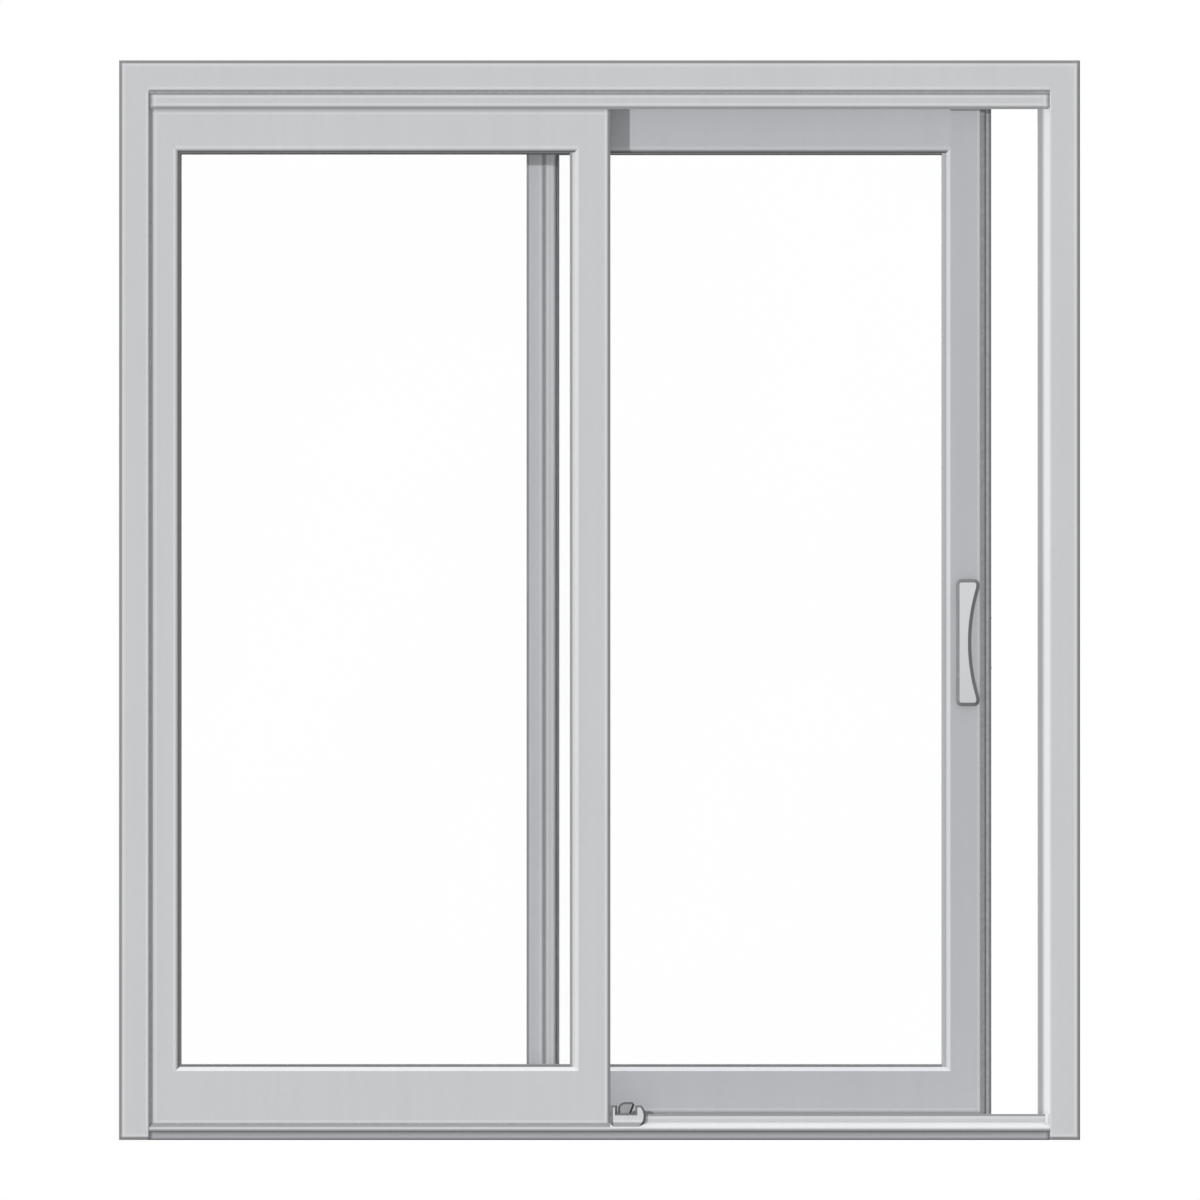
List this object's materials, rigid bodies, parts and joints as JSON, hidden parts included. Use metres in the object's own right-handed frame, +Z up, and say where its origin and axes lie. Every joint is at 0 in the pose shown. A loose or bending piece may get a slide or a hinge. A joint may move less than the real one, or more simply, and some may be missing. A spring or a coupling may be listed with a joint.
{
  "type": "glass sliding patio door",
  "caption": "Framed patio door with a fixed glass panel outside and a glass panel that slides behind it on a sill rail, with pull handles, a lock edge and a sill with a nosing.",
  "frame": {"origin": "on the flat underside of the sill, midway along it and midway through the frame's depth", "axes": "+X to the right seen from outside, +Y from outside to inside, +Z up"},
  "size_m": [1.797, 0.142, 2.019],
  "materials": {
    "frame_finish": "satin light grey factory paint",
    "panel_finish": "satin light grey factory paint",
    "sliding_finish": "satin mid grey factory paint",
    "nosing": "dull grey anodised",
    "rail_metal": "brushed along the rail",
    "glass": "clear float glass",
    "spacer": "mill finish, sealed between the panes",
    "edge_seal": "mid grey extruded seal",
    "handle_finish": "satin light grey paint on a casting",
    "lock_metal": "brushed",
    "roller_nylon": "moulded, off-white",
    "housing_steel": "zinc plated",
    "foot_plastic": "moulded, light grey",
    "knob_plastic": "moulded, dark grey"
  },
  "bodies": {
    "frame": {"jamb_left": "frame_finish", "jamb_right": "frame_finish", "head": "frame_finish", "head_stop": "frame_finish", "lock_stop": "frame_finish", "sill_base": "frame_finish", "sill_nose": "nosing", "sill_cover": "frame_finish", "threshold": "frame_finish", "roller_rail": "rail_metal", "strike_plate": "lock_metal", "foot_block": "foot_plastic", "foot_knob": "knob_plastic", "fixed_stile_left": "panel_finish", "fixed_stile_meeting": "panel_finish", "fixed_rail_bottom": "panel_finish", "fixed_rail_top": "panel_finish", "fixed_bead_left": "panel_finish", "fixed_bead_right": "panel_finish", "fixed_bead_bottom": "panel_finish", "fixed_bead_top": "panel_finish", "fixed_pane_outer": "glass", "fixed_pane_inner": "glass", "fixed_spacer": "spacer", "fixed_interlock": "panel_finish"},
    "sliding_panel": {"sliding_stile_meeting": "sliding_finish", "sliding_stile_lock": "sliding_finish", "sliding_rail_bottom": "sliding_finish", "sliding_rail_top": "sliding_finish", "sliding_bead_left": "sliding_finish", "sliding_bead_right": "sliding_finish", "sliding_bead_bottom": "sliding_finish", "sliding_bead_top": "sliding_finish", "sliding_pane_outer": "glass", "sliding_pane_inner": "glass", "sliding_spacer": "spacer", "sliding_interlock": "sliding_finish", "lock_edge_strip": "edge_seal", "lock_faceplate": "lock_metal", "handle_exterior": "handle_finish", "handle_interior": "handle_finish", "thumb_turn": "handle_finish", "roller_wheels": "roller_nylon", "roller_housings": "housing_steel"}
  },
  "joints": [
    {"name": "panel_slide", "type": "slide", "parent": "frame", "child": "sliding_panel", "axis": [-1, 0, 0], "range_m": [-0.1, 0.635]}
  ]
}
